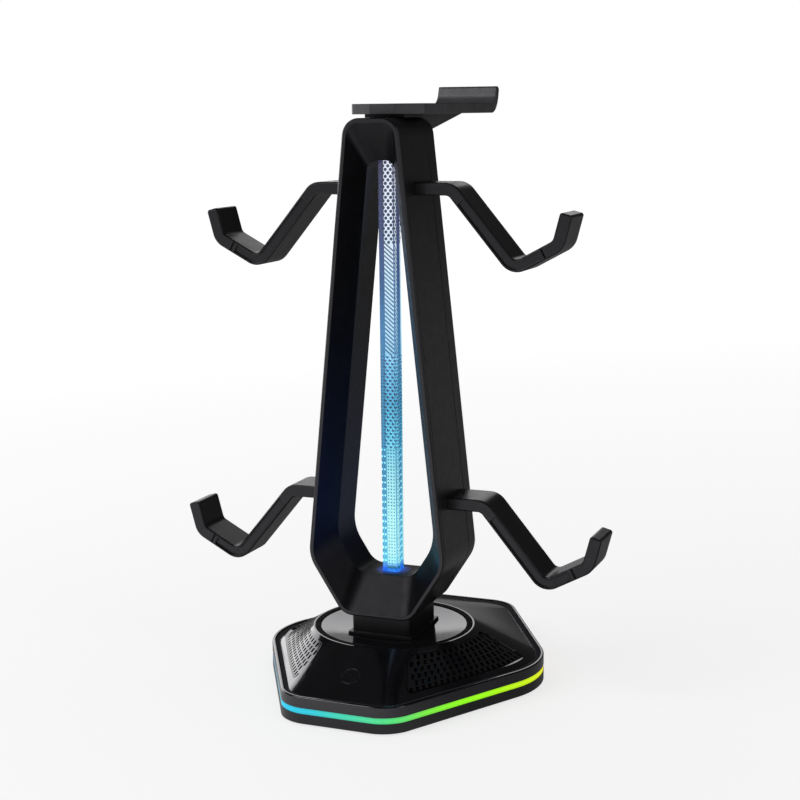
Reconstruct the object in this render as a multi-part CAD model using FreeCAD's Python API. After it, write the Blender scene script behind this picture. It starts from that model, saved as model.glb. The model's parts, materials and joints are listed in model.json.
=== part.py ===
import FreeCAD
import Part
import math
import os

# Stand for game controllers and a headset: a hexagonal base with a light line, a tower
# that tapers upwards round a clear light column, four cradle hooks and a headset rest.
# Millimetres, +Z up, front at -Y, origin on the table under the middle of the tower.

V = FreeCAD.Vector

# Base outline: a long hexagon with its points to the left and right, set back from the tower
BASE_CENTRE_Y = 15.0
BASE_HALF_WIDTH = 72.9
BASE_HALF_DEPTH = 83.0
BASE_FRONT_HALF = 25.8
BASE_CORNER_R = 17.0
BASE_SIDE_R = 38.0

# Base stack, from the table up
MAT_PROUD = 0.8
TRAY_EDGE = 4.5
LIGHT_HEIGHT = 2.7
RIM_HEIGHT = 5.0
SLOPE_RISE = 15.9
TRAY_FLOOR = 2.2
TRAY_WALL = 6.4

# Silicone mat under the base
MAT_POCKET = 0.6
MAT_INSET = 5.0

# Light line round the base
LIGHT_RECESS = 0.2
LIGHT_WIDTH = 4.0
STRIP_THICK = 0.6
STRIP_GAP = 0.2
LED_SIZE = 3.4
LED_TALL = 2.2
LED_DEEP = 1.2
LEDS_PER_EDGE = 3

# Base cover
RIM_EDGE_ROUND = 0.7
GROOVE_START = 1.3
SLOPE_INSET = 3.8
GROOVE_DEPTH = 0.7
COVER_WALL_Z = 3.4
HIP_ARC = 18.0
SIDE_HIP_ARC = 34.0
RING_R = 37.8
RING_STEP = 1.2
RING_EDGE = 0.7
DISH_R = 34.4
DECK_DROP = 3.0
DECK_THICK = 2.2
DISH_EDGE_DROP = 0.4
DISH_DEPTH = 2.0
TOUCH_R = 4.4
TOUCH_LINE = 0.45
TOUCH_DEEP = 0.2
TOUCH_RISE = 0.45
TOUCH_BOARD_R = 7.0
TOUCH_BOARD_THICK = 1.2

# Grille panels in the two front side facets
GRILLE_WRAP = 17.6
GRILLE_FRONT_GAP = 2.0
GRILLE_LOW = 0.14
GRILLE_HIGH = 0.88
GRILLE_CORNER_R = 2.6
GRILLE_SUNK = 0.9
GRILLE_THICK = 1.3
GRILLE_SEAT = 1.2
GRILLE_GLUE = 0.05
SLOT_ROWS = 6
SLOT_PITCH = 3.4
SLOT_WIDE = 1.6
SLOT_WEB = 0.75
SLOT_SHIFT = 0.25

# Weight, board and socket inside the base
BALLAST_INSET = 8.6
BALLAST_THICK = 3.0
BOARD_HALF_WIDTH = 15.0
BOARD_FRONT = -14.0
BOARD_REAR_GAP = 7.0
BOARD_THICK = 1.6
BOARD_LIFT = 4.0
STANDOFF_R = 2.4
STANDOFF_X = 11.5
STANDOFF_FRONT = -9.0
STANDOFF_REAR_GAP = 24.0
SOCKET_HALF_WIDTH = 4.5
SOCKET_TALL = 3.2
SOCKET_LONG = 8.6
SOCKET_SHY = 0.4
SOCKET_SHELL = 0.35
SOCKET_DEEP = 6.2
SOCKET_ROUND = 1.3
TONGUE_HALF_WIDTH = 3.3
TONGUE_THICK = 0.7
HEADER_SIZE = 6.0
HEADER_TALL = 3.0

# Neck between base and tower
NECK_HALF_WIDTH = 14.35
NECK_HALF_DEPTH = 16.3
NECK_WALL = 2.5
NECK_TOP_Z = 36.8
NECK_CORNER_R = 1.5
PLINTH_STEP = 1.3
PLINTH_TALL = 2.6
NECK_BOSS_R = 3.0
NECK_BOSS_TALL = 6.5
NECK_BOSS_X = 8.4
NECK_BOSS_Y = 10.4
LEAD_HOLE_R = 3.2

# Tower loop: half outline in X and Z, depth in Y
TOWER_TOP_Z = 262.5
TOWER_TOP_HALF = 12.76
WAIST_Z = 63.0
WAIST_HALF = 33.57
TOWER_FOOT_HALF = 16.8
TOWER_HALF_DEPTH = 21.5
TOWER_TOP_R = 8.0
WAIST_R = 15.0
TOWER_FOOT_R = 8.5
TOWER_EDGE = 0.6
RIM = 2.0
BAND_HALF_DEPTH = 9.7
LEG_THICK = 8.5
CROWN_THICK = 18.6
SILL_THICK = 17.4
SLANT_THICK = 12.1
OPEN_TOP_R = 4.4
OPEN_WAIST_R = 20.0
OPEN_SILL_R = 9.0
TOWER_WALL = 2.2
CAVITY_HALF_DEPTH = 15.5
SEAM_Y = 12.2
SEAM_WIDE = 0.7
SEAM_DEEP = 0.7
TRIM_LINE_BACK = 2.4
TRIM_LINE_WIDE = 0.5
TRIM_LINE_DEEP = 0.5
POST_R = 3.2
POST_X = 8.4
POST_Y = 4.6
POST_TALL = 11.0
REAR_BOSS_R = 2.7
SILL_SCREW_X = 15.5
SILL_SCREW_LIFT = 9.2
CROWN_SCREW_X = 6.2
CROWN_SCREW_DROP = 7.5
REAR_WEB = 2.4

# Light column
COLUMN = 7.5
COLUMN_FIT = 0.15
COLUMN_HOLD = 4.5
SOCKET_SPARE = 3.0
SOCKET_WALL = 2.0
LAMP_SIZE = 5.0
LAMP_TALL = 1.4
LAMP_GAP = 0.2
LAMP_BOARD_HALF_WIDTH = 12.5
LAMP_BOARD_HALF_DEPTH = 8.0
LAMP_BOARD_THICK = 1.6
LEAD_R = 1.4

# Cradle hooks: stub, arm down, rise and lip, in the plane of the tower
HOOK_HEIGHTS = {"upper": 231.5, "lower": 90.5}
HOOK_STUB = 17.0
HOOK_ARM = 44.6
HOOK_ARM_ANGLE = -50.3
HOOK_RISE = 22.8
HOOK_RISE_ANGLE = 28.3
HOOK_LIP = 13.9
HOOK_LIP_ANGLE = 75.0
HOOK_THICK = 5.6
HOOK_HALF_WIDTH = 9.75
HOOK_BEND_R = 6.0
HOOK_TIP_R = 1.2
HOOK_EDGE = 0.5
HOOK_BEAD = 1.0
HOOK_POCKET = 1.1
HOOK_POCKET_START = 7.0
HOOK_POCKET_END = 13.4
HOOK_GROOVE_AT = 15.0
HOOK_GROOVE_WIDE = 0.8
HOOK_TONGUE = 3.6
HOOK_TONGUE_HALF = 7.0
HOOK_HEAD = 12.0
HOOK_HEAD_THICK = 1.7
HOOK_ROOT = 1.4
HOOK_FIT = 0.15

# Headset rest on the crown
RISER_THICK = 1.5
RISER_HALF_WIDTH = 9.5
RISER_FRONT = -4.5
RISER_REAR = 18.0
REST_THICK = 4.6
REST_NOSE_Y = -7.5
REST_NOSE_HALF = 6.0
REST_NOSE_ANGLE = 30.0
REST_HALF_WIDTH = 18.0
REST_REAR = 104.0
REST_REAR_HALF = 15.0
REST_CORNER_R = 3.0
REST_TIP_R = 1.5
REST_LIP = 11.0
REST_LIP_ANGLE = 72.0
REST_BEND_R = 9.0
REST_RIB_HALF = 4.0
REST_RIB_DEEP = 11.0
REST_RIB_GAP = 0.4
REST_RIB_END = 86.0
REST_SCREW_Y = (-1.0, 8.6)

# Screws and general fits
SCREW_R = 1.25
HEAD_R = 2.3
HEAD_TALL = 1.6
DRIVE_WIDE = 0.7
DRIVE_LONG = 2.8
DRIVE_DEEP = 0.8
BASE_SCREW_X = 20.0
BASE_SCREW_FRONT_GAP = 18.0
BASE_SCREW_REAR_GAP = 34.0
BASE_SCREW_LONG = 12.0
BOARD_SCREW_LONG = 5.0
NECK_SCREW_LONG = 7.0
TOWER_SCREW_LONG = 10.0
REAR_SCREW_LONG = 9.0
REST_SCREW_LONG = 10.0
BASE_BOSS_R = 3.4
TRAY_BOSS = 3.0
HEAD_SINK = 2.4
FIT = 0.2
THREAD_FIT = 0.1
LEAST_R = 0.5

# Levels worked out from the stack
Z_TRAY = MAT_PROUD
Z_FLOOR = Z_TRAY + TRAY_FLOOR
Z_LIGHT = Z_TRAY + TRAY_EDGE
Z_RIM = Z_LIGHT + LIGHT_HEIGHT
Z_RIM_TOP = Z_RIM + RIM_HEIGHT
Z_SLOPE = Z_RIM_TOP - GROOVE_DEPTH
Z_RING = Z_SLOPE + SLOPE_RISE
Z_DECK = Z_RING - DECK_DROP
Z_BOARD = Z_FLOOR + BOARD_LIFT
Z_BOARD_TOP = Z_BOARD + BOARD_THICK
Z_SILL = NECK_TOP_Z + SILL_THICK
Z_CEILING = TOWER_TOP_Z - CROWN_THICK
Z_POST_TOP = NECK_TOP_Z + POST_TALL
Z_LAMP_BOARD_TOP = Z_POST_TOP + LAMP_BOARD_THICK
Z_LAMP_TOP = Z_LAMP_BOARD_TOP + LAMP_TALL
Z_RISER_TOP = TOWER_TOP_Z + RISER_THICK
Z_REST_TOP = Z_RISER_TOP + REST_THICK

# Places worked out from the base's outline
BASE_FRONT_Y = BASE_CENTRE_Y - BASE_HALF_DEPTH
BASE_REAR_Y = BASE_CENTRE_Y + BASE_HALF_DEPTH
BOARD_REAR = BASE_REAR_Y - BOARD_REAR_GAP
STANDOFF_REAR = BASE_REAR_Y - STANDOFF_REAR_GAP
SOCKET_REAR = BASE_REAR_Y - SOCKET_SHY
EDGE_RUN = BASE_HALF_WIDTH - BASE_FRONT_HALF
EDGE_LENGTH = math.hypot(EDGE_RUN, BASE_HALF_DEPTH)
SIDE_APOTHEM = BASE_HALF_DEPTH * BASE_HALF_WIDTH / EDGE_LENGTH
LEG_LEAN = math.degrees(math.atan2(WAIST_HALF - TOWER_TOP_HALF, TOWER_TOP_Z - WAIST_Z))
UP = V(0, 0, 1)
DOWN = V(0, 0, -1)
FORWARD = V(0, -1, 0)

# Places of the facets in the hexagon's turn, a small step along one, and how near is parallel
LEFT_FACET = 4
FRONT_FACET = 5
RUN_STEP = 0.5
PARALLEL = 0.5


# Outlines

def rounded_edges(corners, radii, place):
    """Arc and line edges, in turn, round a closed outline; a radius of 0 leaves a sharp corner."""
    count = len(corners)
    bends = []
    for index, (corner, radius) in enumerate(zip(corners, radii)):
        to_last = V(*corners[index - 1], 0) - V(*corner, 0)
        to_next = V(*corners[(index + 1) % count], 0) - V(*corner, 0)
        to_last.normalize()
        to_next.normalize()
        here = V(*corner, 0)
        if radius <= 0:
            bends.append((here, None, here))
            continue
        half = to_last.getAngle(to_next) / 2
        middle = to_last + to_next
        middle.normalize()
        run = radius / math.tan(half)
        mid = here + middle * (radius / math.sin(half) - radius)
        bends.append((here + to_last * run, mid, here + to_next * run))
    edges = []
    for index, (start, mid, end) in enumerate(bends):
        if mid is not None:
            edges.append(Part.Arc(place(start), place(mid), place(end)).toShape())
        after = bends[(index + 1) % count][0]
        edges.append(Part.LineSegment(place(end), place(after)).toShape())
    return edges


def slab(edges, sweep):
    """Solid swept from a flat closed outline."""
    return Part.Face(Part.Wire(edges)).extrude(sweep)


def ruled(lower, upper):
    """Solid with straight rulings between two closed outlines of as many edges."""
    return Part.makeLoft([Part.Wire(lower), Part.Wire(upper)], True, True)


def box(x0, x1, y0, y1, z0, z1):
    return Part.makeBox(x1 - x0, y1 - y0, z1 - z0, V(x0, y0, z0))


def post(radius, x, y, z0, z1):
    return Part.makeCylinder(radius, z1 - z0, V(x, y, z0))


def mirrored(shape):
    return shape.mirror(V(0, 0, 0), V(1, 0, 0))


def edges_along(shape, way):
    return [edge for edge in shape.Edges if abs(edge.tangentAt(edge.FirstParameter).dot(way)) > PARALLEL]


def face_edges(shape):
    """Edges in the two faces of a slab that was swept along Y."""
    return [edge for edge in shape.Edges if edge.BoundBox.YLength < FIT]


def hexagon(inset):
    front = BASE_HALF_DEPTH - inset
    side = (SIDE_APOTHEM - inset) * EDGE_LENGTH / BASE_HALF_DEPTH
    corner = side - EDGE_RUN * front / BASE_HALF_DEPTH
    right = [(corner, BASE_CENTRE_Y - front), (side, BASE_CENTRE_Y), (corner, BASE_CENTRE_Y + front)]
    return right + [(-x, y) for x, y in reversed(right)]


def hex_edges(inset, z):
    right = [max(radius - inset, LEAST_R) for radius in (BASE_CORNER_R, BASE_SIDE_R, BASE_CORNER_R)]
    return rounded_edges(hexagon(inset), 2 * right, lambda p: V(p.x, p.y, z))


def hex_slab(inset, z0, z1):
    return slab(hex_edges(inset, z0), V(0, 0, z1 - z0))


def ring_edges(radius, z):
    """Circle cut into twelve arcs that face the arcs and lines of the hexagon."""
    hips = [math.degrees(math.atan2(y, x)) for x, y in hexagon(0)]
    hips = [hips[0]] + [angle % 360 for angle in hips[1:]]
    wide = 2 * [HIP_ARC, SIDE_HIP_ARC, HIP_ARC]
    starts = [hip - arc / 2 for hip, arc in zip(hips, wide)]
    ends = [hip + arc / 2 for hip, arc in zip(hips, wide)]

    def at(angle):
        return V(radius * math.cos(math.radians(angle)), radius * math.sin(math.radians(angle)), z)

    edges = []
    for start, end, after in zip(starts, ends, starts[1:] + [starts[0] + 360]):
        for first, last in ((start, end), (end, after)):
            edges.append(Part.Arc(at(first), at((first + last) / 2), at(last)).toShape())
    return edges


def slope_solid(drop):
    """The base's sloped pyramid, blending from the hexagon into the ring, lowered by drop."""
    return ruled(hex_edges(SLOPE_INSET, Z_SLOPE - drop), ring_edges(RING_R, Z_RING - drop))


def slope_skin(drop, thick):
    """Sloped sheet outside the ring, of a thickness counted along Z."""
    sheet = slope_solid(drop).cut(slope_solid(drop + thick))
    return sheet.cut(post(RING_R, 0, 0, 0, Z_RING))


def tower_corners(leg, crown, sill, slant):
    """Corners of the tower outline, each side moved inwards by its own distance."""
    leg_out = V(math.cos(math.radians(LEG_LEAN)), math.sin(math.radians(LEG_LEAN)), 0)
    slant_out = V(WAIST_Z - NECK_TOP_Z, TOWER_FOOT_HALF - WAIST_HALF, 0)
    slant_out.normalize()
    waist = V(WAIST_HALF, WAIST_Z, 0)
    leg_reach = waist.dot(leg_out) - leg
    slant_reach = waist.dot(slant_out) - slant
    top = TOWER_TOP_Z - crown
    low = NECK_TOP_Z + sill
    cross = leg_out.x * slant_out.y - leg_out.y * slant_out.x
    right = [
        ((slant_reach - slant_out.y * low) / slant_out.x, low),
        ((leg_reach * slant_out.y - slant_reach * leg_out.y) / cross,
         (leg_out.x * slant_reach - slant_out.x * leg_reach) / cross),
        ((leg_reach - leg_out.y * top) / leg_out.x, top),
    ]
    return right + [(-x, z) for x, z in reversed(right)]


def tower_edges(insets, radii, y):
    foot, waist, top = radii
    return rounded_edges(tower_corners(*insets), [foot, waist, top, top, waist, foot],
                         lambda p: V(p.x, y, p.y))


def outer_edges(inset, y):
    radii = [max(radius - inset, LEAST_R) for radius in (TOWER_FOOT_R, WAIST_R, TOWER_TOP_R)]
    return tower_edges([inset] * 4, radii, y)


def open_edges(wall, y):
    """Outline of the opening through the tower, moved into the frame by wall."""
    insets = [thick - wall for thick in (LEG_THICK, CROWN_THICK, SILL_THICK, SLANT_THICK)]
    radii = [radius + wall for radius in (OPEN_SILL_R, OPEN_WAIST_R, OPEN_TOP_R)]
    return tower_edges(insets, radii, y)


# Screws

def screw(tip_to, x, y, z, length):
    """Pan screw whose head sits at the point; tip_to is the way the shank points."""
    head_top = -HEAD_TALL
    body = Part.makeCylinder(HEAD_R, HEAD_TALL, V(0, 0, head_top))
    body = body.fuse(Part.makeCylinder(SCREW_R, length))
    for wide, long in ((DRIVE_WIDE, DRIVE_LONG), (DRIVE_LONG, DRIVE_WIDE)):
        body = body.cut(box(-wide / 2, wide / 2, -long / 2, long / 2, head_top, head_top + DRIVE_DEEP))
    body.Placement = FreeCAD.Placement(V(x, y, z), FreeCAD.Rotation(V(0, 0, 1), tip_to))
    return body


def thread_hole(tip_to, x, y, z, length):
    return Part.makeCylinder(SCREW_R + THREAD_FIT, length + FIT, V(x, y, z), tip_to)


def four(x, y0, y1):
    return [(side * x, y) for side in (-1, 1) for y in (y0, y1)]


BASE_SCREWS = four(BASE_SCREW_X, BASE_FRONT_Y + BASE_SCREW_FRONT_GAP, BASE_REAR_Y - BASE_SCREW_REAR_GAP)
BOARD_SCREWS = four(STANDOFF_X, STANDOFF_FRONT, STANDOFF_REAR)
NECK_SCREWS = four(NECK_BOSS_X, -NECK_BOSS_Y, NECK_BOSS_Y)
TOWER_SCREWS = four(POST_X, -POST_Y, POST_Y)
REAR_SCREW_SIDE = [(SILL_SCREW_X, NECK_TOP_Z + SILL_SCREW_LIFT),
                   (CROWN_SCREW_X, TOWER_TOP_Z - CROWN_SCREW_DROP)]
REAR_SCREWS = [(side * x, z) for side in (-1, 1) for x, z in REAR_SCREW_SIDE]


# Base

def base_mat():
    return hex_slab(MAT_INSET, 0, MAT_PROUD + MAT_POCKET)


def tray_boss_top():
    return Z_FLOOR + TRAY_BOSS


def base_tray():
    tray = hex_slab(0, Z_TRAY, Z_LIGHT).cut(hex_slab(TRAY_WALL, Z_FLOOR, Z_LIGHT))
    for x, y in BASE_SCREWS:
        tray = tray.fuse(post(BASE_BOSS_R, x, y, Z_FLOOR, tray_boss_top()))
        tray = tray.cut(post(SCREW_R + FIT, x, y, Z_TRAY, tray_boss_top()))
        tray = tray.cut(post(HEAD_R + FIT, x, y, Z_TRAY, Z_TRAY + HEAD_SINK))
    for x, y in BOARD_SCREWS:
        tray = tray.fuse(post(STANDOFF_R, x, y, Z_FLOOR, Z_BOARD))
        tray = tray.cut(thread_hole(DOWN, x, y, Z_BOARD, BOARD_SCREW_LONG - BOARD_THICK))
    return tray.cut(hex_slab(MAT_INSET - FIT, Z_TRAY, Z_TRAY + MAT_POCKET)).removeSplitter()


def ballast_plate():
    plate = hex_slab(BALLAST_INSET, Z_FLOOR, Z_FLOOR + BALLAST_THICK)
    for places, radius in ((BASE_SCREWS, BASE_BOSS_R), (BOARD_SCREWS, STANDOFF_R)):
        for x, y in places:
            plate = plate.cut(post(radius + FIT, x, y, Z_FLOOR, Z_FLOOR + BALLAST_THICK))
    return plate


def light_ring():
    inner = LIGHT_RECESS + LIGHT_WIDTH
    return hex_slab(LIGHT_RECESS, Z_LIGHT, Z_RIM).cut(hex_slab(inner, Z_LIGHT, Z_RIM))


def strip_inset():
    return LIGHT_RECESS + LIGHT_WIDTH + STRIP_GAP + LED_DEEP


def led_strip():
    inset = strip_inset()
    top = Z_RIM - STRIP_GAP
    return hex_slab(inset, Z_LIGHT, top).cut(hex_slab(inset + STRIP_THICK, Z_LIGHT, top))


def strip_leds():
    """Small lamps on the strip's outer face, shining into the light ring."""
    corners = hexagon(strip_inset())
    lamps = []
    for index, (x0, y0) in enumerate(corners):
        x1, y1 = corners[(index + 1) % len(corners)]
        turn = FreeCAD.Rotation(UP, math.degrees(math.atan2(y1 - y0, x1 - x0)))
        for step in range(LEDS_PER_EDGE):
            share = (step + 1) / (LEDS_PER_EDGE + 1)
            place = V(x0 + (x1 - x0) * share, y0 + (y1 - y0) * share, Z_LIGHT)
            lamp = Part.makeBox(LED_SIZE, LED_DEEP, LED_TALL, V(-LED_SIZE / 2, -LED_DEEP, 0))
            lamp.Placement = FreeCAD.Placement(place, turn)
            lamps.append(lamp)
    return Part.makeCompound(lamps)


def facet_length(index):
    return hex_edges(SLOPE_INSET, Z_SLOPE)[2 * index + 1].Length


def facet_line(index, run):
    """Ends, on the hexagon and on the ring, of one straight ruling of a facet.

    The run goes along the facet's foot; below 0 it lies on the rounded corner before the facet.
    """
    feet = hex_edges(SLOPE_INSET, Z_SLOPE)
    place = 2 * index + 1
    share = run / feet[place].Length
    if run < 0:
        place -= 1
        share = 1 + run / feet[place].Length
    ends = []
    for edges in (feet, ring_edges(RING_R, Z_RING)):
        first, last = edges[place].ParameterRange
        ends.append(edges[place].valueAt(first + (last - first) * share))
    return ends


def grille_ends():
    return -GRILLE_WRAP, facet_length(LEFT_FACET) - GRILLE_FRONT_GAP


def grille_block(grow):
    """Block that holds a grille's outline on the front left facet, grown by a clearance."""
    reach = 2 * SLOPE_INSET + GRILLE_THICK
    corners = []
    for run, way in zip(grille_ends(), (-1, 1)):
        low, high = facet_line(LEFT_FACET, run)
        along = V(low.x - high.x, low.y - high.y, 0)
        along.normalize()
        across = V(-along.y, along.x, 0) * (way * grow)
        ends = [low + along * reach + across, high - along * reach + across]
        corners += ends if way > 0 else reversed(ends)
    z0 = Z_SLOPE + SLOPE_RISE * GRILLE_LOW - grow
    z1 = Z_SLOPE + SLOPE_RISE * GRILLE_HIGH + grow
    outline = Part.makePolygon([V(p.x, p.y, z0) for p in corners + corners[:1]])
    block = Part.Face(outline).extrude(V(0, 0, z1 - z0))
    outward = corners[1] + corners[2] - corners[0] - corners[3]
    outward.z = 0
    outward.normalize()
    return block.makeFillet(GRILLE_CORNER_R + grow, edges_along(block, outward))


def slots():
    """Rows of short slots up the facet, every other row shifted by half a pitch."""
    cutters = []
    first, last = grille_ends()
    row_tall = (GRILLE_HIGH - GRILLE_LOW) / SLOT_ROWS
    for row in range(SLOT_ROWS):
        rise = GRILLE_LOW + row_tall * (row + 0.5)
        low, high = facet_line(LEFT_FACET, first)
        start = low + (high - low) * rise
        low, high = facet_line(LEFT_FACET, last)
        length = (low + (high - low) * rise - start).Length
        count = int((length - 2 * SLOT_WIDE) / SLOT_PITCH)
        for step in range(count):
            shift = SLOT_SHIFT * (-1) ** row
            place = (length - SLOT_PITCH * (count - 1)) / 2 + SLOT_PITCH * (step + shift)
            run = first + (last - first) * place / length
            low, high = facet_line(LEFT_FACET, run)
            upward = high - low
            tall = upward.Length * row_tall - SLOT_WEB
            centre = low + upward * rise
            along = facet_line(LEFT_FACET, run + RUN_STEP)[0] - low
            facing = along.cross(upward)
            deep = 2 * (GRILLE_SUNK + GRILLE_THICK)
            cutter = Part.makeBox(SLOT_WIDE, tall, 2 * deep, V(-SLOT_WIDE / 2, -tall / 2, -deep))
            cutter.Placement = FreeCAD.Placement(centre, FreeCAD.Rotation(along, upward, facing, "ZYX"))
            cutters.append(cutter)
    return cutters


def grille_left():
    return slope_skin(GRILLE_SUNK, GRILLE_THICK).common(grille_block(0)).cut(slots())


def touch_frame():
    """Placement on the front facet with its z axis out of the surface."""
    low, high = facet_line(FRONT_FACET, facet_length(FRONT_FACET) / 2)
    upward = high - low
    facing = V(1, 0, 0).cross(upward)
    turn = FreeCAD.Rotation(V(1, 0, 0), upward, facing, "ZXY")
    return FreeCAD.Placement(low + upward * TOUCH_RISE, turn)


def touch_line():
    ring = Part.makeCylinder(TOUCH_R, 2 * TOUCH_DEEP, V(0, 0, -TOUCH_DEEP))
    ring = ring.cut(Part.makeCylinder(TOUCH_R - TOUCH_LINE, 2 * TOUCH_DEEP, V(0, 0, -TOUCH_DEEP)))
    ring.Placement = touch_frame()
    return ring


def touch_board():
    frame = touch_frame()
    facing = frame.Rotation.multVec(V(0, 0, 1))
    under = COVER_WALL_Z * facing.z + FIT
    disc = Part.makeCylinder(TOUCH_BOARD_R, TOUCH_BOARD_THICK, V(0, 0, -under - TOUCH_BOARD_THICK))
    disc.Placement = frame
    return disc


def base_cover():
    rim = hex_slab(0, Z_RIM, Z_RIM_TOP)
    top_edges = [edge for edge in rim.Edges if min(v.Z for v in edge.Vertexes) > Z_RIM_TOP - FIT]
    rim = rim.makeFillet(RIM_EDGE_ROUND, top_edges)
    rim = rim.cut(hex_slab(GROOVE_START, Z_SLOPE, Z_RIM_TOP))
    cover = rim.fuse(slope_solid(0))
    hollow = slope_solid(COVER_WALL_Z).common(hex_slab(0, Z_RIM, Z_DECK - DECK_THICK))
    hollow = hollow.fuse(hex_slab(SLOPE_INSET, Z_RIM, Z_SLOPE - COVER_WALL_Z))
    cover = cover.cut(hollow)
    for x, y in BASE_SCREWS:
        boss = post(BASE_BOSS_R, x, y, tray_boss_top(), Z_RING).common(
            slope_solid(COVER_WALL_Z / 2).fuse(hex_slab(SLOPE_INSET, 0, Z_SLOPE - COVER_WALL_Z / 2)))
        cover = cover.fuse(boss)
        cover = cover.cut(thread_hole(UP, x, y, Z_TRAY + HEAD_SINK, BASE_SCREW_LONG))
    cover = cover.cut(post(DISH_R, 0, 0, Z_DECK, Z_RING))
    cover = cover.cut(post(RING_R - RING_EDGE, 0, 0, Z_RING - RING_STEP, Z_RING))
    cover = cover.cut(post(LEAD_HOLE_R, 0, 0, Z_DECK - DECK_THICK, Z_DECK))
    for x, y in NECK_SCREWS:
        cover = cover.cut(post(SCREW_R + FIT, x, y, Z_DECK - DECK_THICK, Z_DECK))
    recess = grille_block(FIT).common(slope_skin(0, GRILLE_SUNK + GRILLE_THICK + GRILLE_GLUE))
    opening = grille_block(-GRILLE_SEAT).common(slope_skin(0, COVER_WALL_Z))
    for left in (recess, opening):
        cover = cover.cut(left).cut(mirrored(left))
    cover = cover.cut(touch_line())
    cover = cover.cut(box(-SOCKET_HALF_WIDTH - FIT, SOCKET_HALF_WIDTH + FIT, SOCKET_REAR - SOCKET_LONG - FIT,
                          BASE_REAR_Y, Z_BOARD_TOP - FIT, Z_BOARD_TOP + SOCKET_TALL + FIT))
    return cover.removeSplitter()


def ring_trim():
    low = Z_RING - RING_STEP
    trim = post(RING_R - RING_EDGE - FIT, 0, 0, low, Z_RING)
    return trim.cut(post(DISH_R, 0, 0, low, Z_RING))


def plinth(grow, z0, z1):
    wide = NECK_HALF_WIDTH + PLINTH_STEP + grow
    deep = NECK_HALF_DEPTH + PLINTH_STEP + grow
    return box(-wide, wide, -deep, deep, z0, z1)


def dish():
    """Shallow bowl inside the ring, cut out round the foot of the neck."""
    edge_r = DISH_R - FIT
    edge_z = Z_RING - DISH_EDGE_DROP
    ball_r = (edge_r ** 2 + DISH_DEPTH ** 2) / (2 * DISH_DEPTH)
    plate = post(edge_r, 0, 0, Z_DECK, edge_z)
    plate = plate.cut(Part.makeSphere(ball_r, V(0, 0, edge_z - DISH_DEPTH + ball_r)))
    return plate.cut(plinth(FIT, Z_DECK, edge_z))


def control_board():
    board = box(-BOARD_HALF_WIDTH, BOARD_HALF_WIDTH, BOARD_FRONT, BOARD_REAR, Z_BOARD, Z_BOARD_TOP)
    for x, y in BOARD_SCREWS:
        board = board.cut(post(SCREW_R + FIT, x, y, Z_BOARD, Z_BOARD_TOP))
    return board


def header(z0, z1):
    half = HEADER_SIZE / 2
    return box(-half, half, -half, half, z0, z1)


def usb_socket():
    rear = SOCKET_REAR
    low, high = Z_BOARD_TOP, Z_BOARD_TOP + SOCKET_TALL
    shell = box(-SOCKET_HALF_WIDTH, SOCKET_HALF_WIDTH, rear - SOCKET_LONG, rear, low, high)
    shell = shell.makeFillet(SOCKET_ROUND, edges_along(shell, FORWARD))
    wide = SOCKET_HALF_WIDTH - SOCKET_SHELL
    mouth = box(-wide, wide, rear - SOCKET_DEEP, rear, low + SOCKET_SHELL, high - SOCKET_SHELL)
    mouth = mouth.makeFillet(SOCKET_ROUND - SOCKET_SHELL, edges_along(mouth, FORWARD))
    middle = (low + high) / 2
    tongue = box(-TONGUE_HALF_WIDTH, TONGUE_HALF_WIDTH, rear - SOCKET_DEEP, rear - SOCKET_SHELL,
                 middle - TONGUE_THICK / 2, middle + TONGUE_THICK / 2)
    return shell.cut(mouth).fuse(tongue)


# Neck

def neck():
    body = box(-NECK_HALF_WIDTH, NECK_HALF_WIDTH, -NECK_HALF_DEPTH, NECK_HALF_DEPTH, Z_DECK, NECK_TOP_Z)
    body = body.makeFillet(NECK_CORNER_R, edges_along(body, UP))
    body = body.fuse(plinth(0, Z_DECK, Z_DECK + PLINTH_TALL))
    wide, deep = NECK_HALF_WIDTH - NECK_WALL, NECK_HALF_DEPTH - NECK_WALL
    body = body.cut(box(-wide, wide, -deep, deep, Z_DECK, NECK_TOP_Z - NECK_WALL))
    for x, y in NECK_SCREWS:
        boss = post(NECK_BOSS_R, x, y, Z_DECK, Z_DECK + NECK_BOSS_TALL)
        side = 1 if x > 0 else -1
        web_y = sorted((y, math.copysign(deep, y)))
        web_x = sorted((x, side * wide))
        boss = boss.fuse(box(x - NECK_WALL / 2, x + NECK_WALL / 2, *web_y, Z_DECK, Z_DECK + NECK_BOSS_TALL))
        boss = boss.fuse(box(*web_x, y - NECK_WALL / 2, y + NECK_WALL / 2, Z_DECK, Z_DECK + NECK_BOSS_TALL))
        body = body.fuse(boss)
        body = body.cut(thread_hole(UP, x, y, Z_DECK - DECK_THICK, NECK_SCREW_LONG))
    for x, y in TOWER_SCREWS:
        body = body.cut(post(SCREW_R + FIT, x, y, NECK_TOP_Z - NECK_WALL, NECK_TOP_Z))
    return body.cut(post(LEAD_HOLE_R, 0, 0, NECK_TOP_Z - NECK_WALL, NECK_TOP_Z)).removeSplitter()


# Tower

def tower_slab(inset, y0, y1):
    return slab(outer_edges(inset, y0), V(0, y1 - y0, 0))


def open_solid(wall):
    """The opening through the tower: a straight middle and a flared bevel at each face."""
    rim = RIM - wall
    space = slab(open_edges(wall, -BAND_HALF_DEPTH), V(0, 2 * BAND_HALF_DEPTH, 0))
    for face in (-1, 1):
        flare = ruled(outer_edges(rim, face * TOWER_HALF_DEPTH), open_edges(wall, face * BAND_HALF_DEPTH))
        space = space.fuse(flare)
    return space


def outer_line(y, wide, deep):
    """Shallow groove all round the outside of the tower."""
    return tower_slab(0, y - wide / 2, y + wide / 2).cut(tower_slab(deep, y - wide / 2, y + wide / 2))


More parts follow.
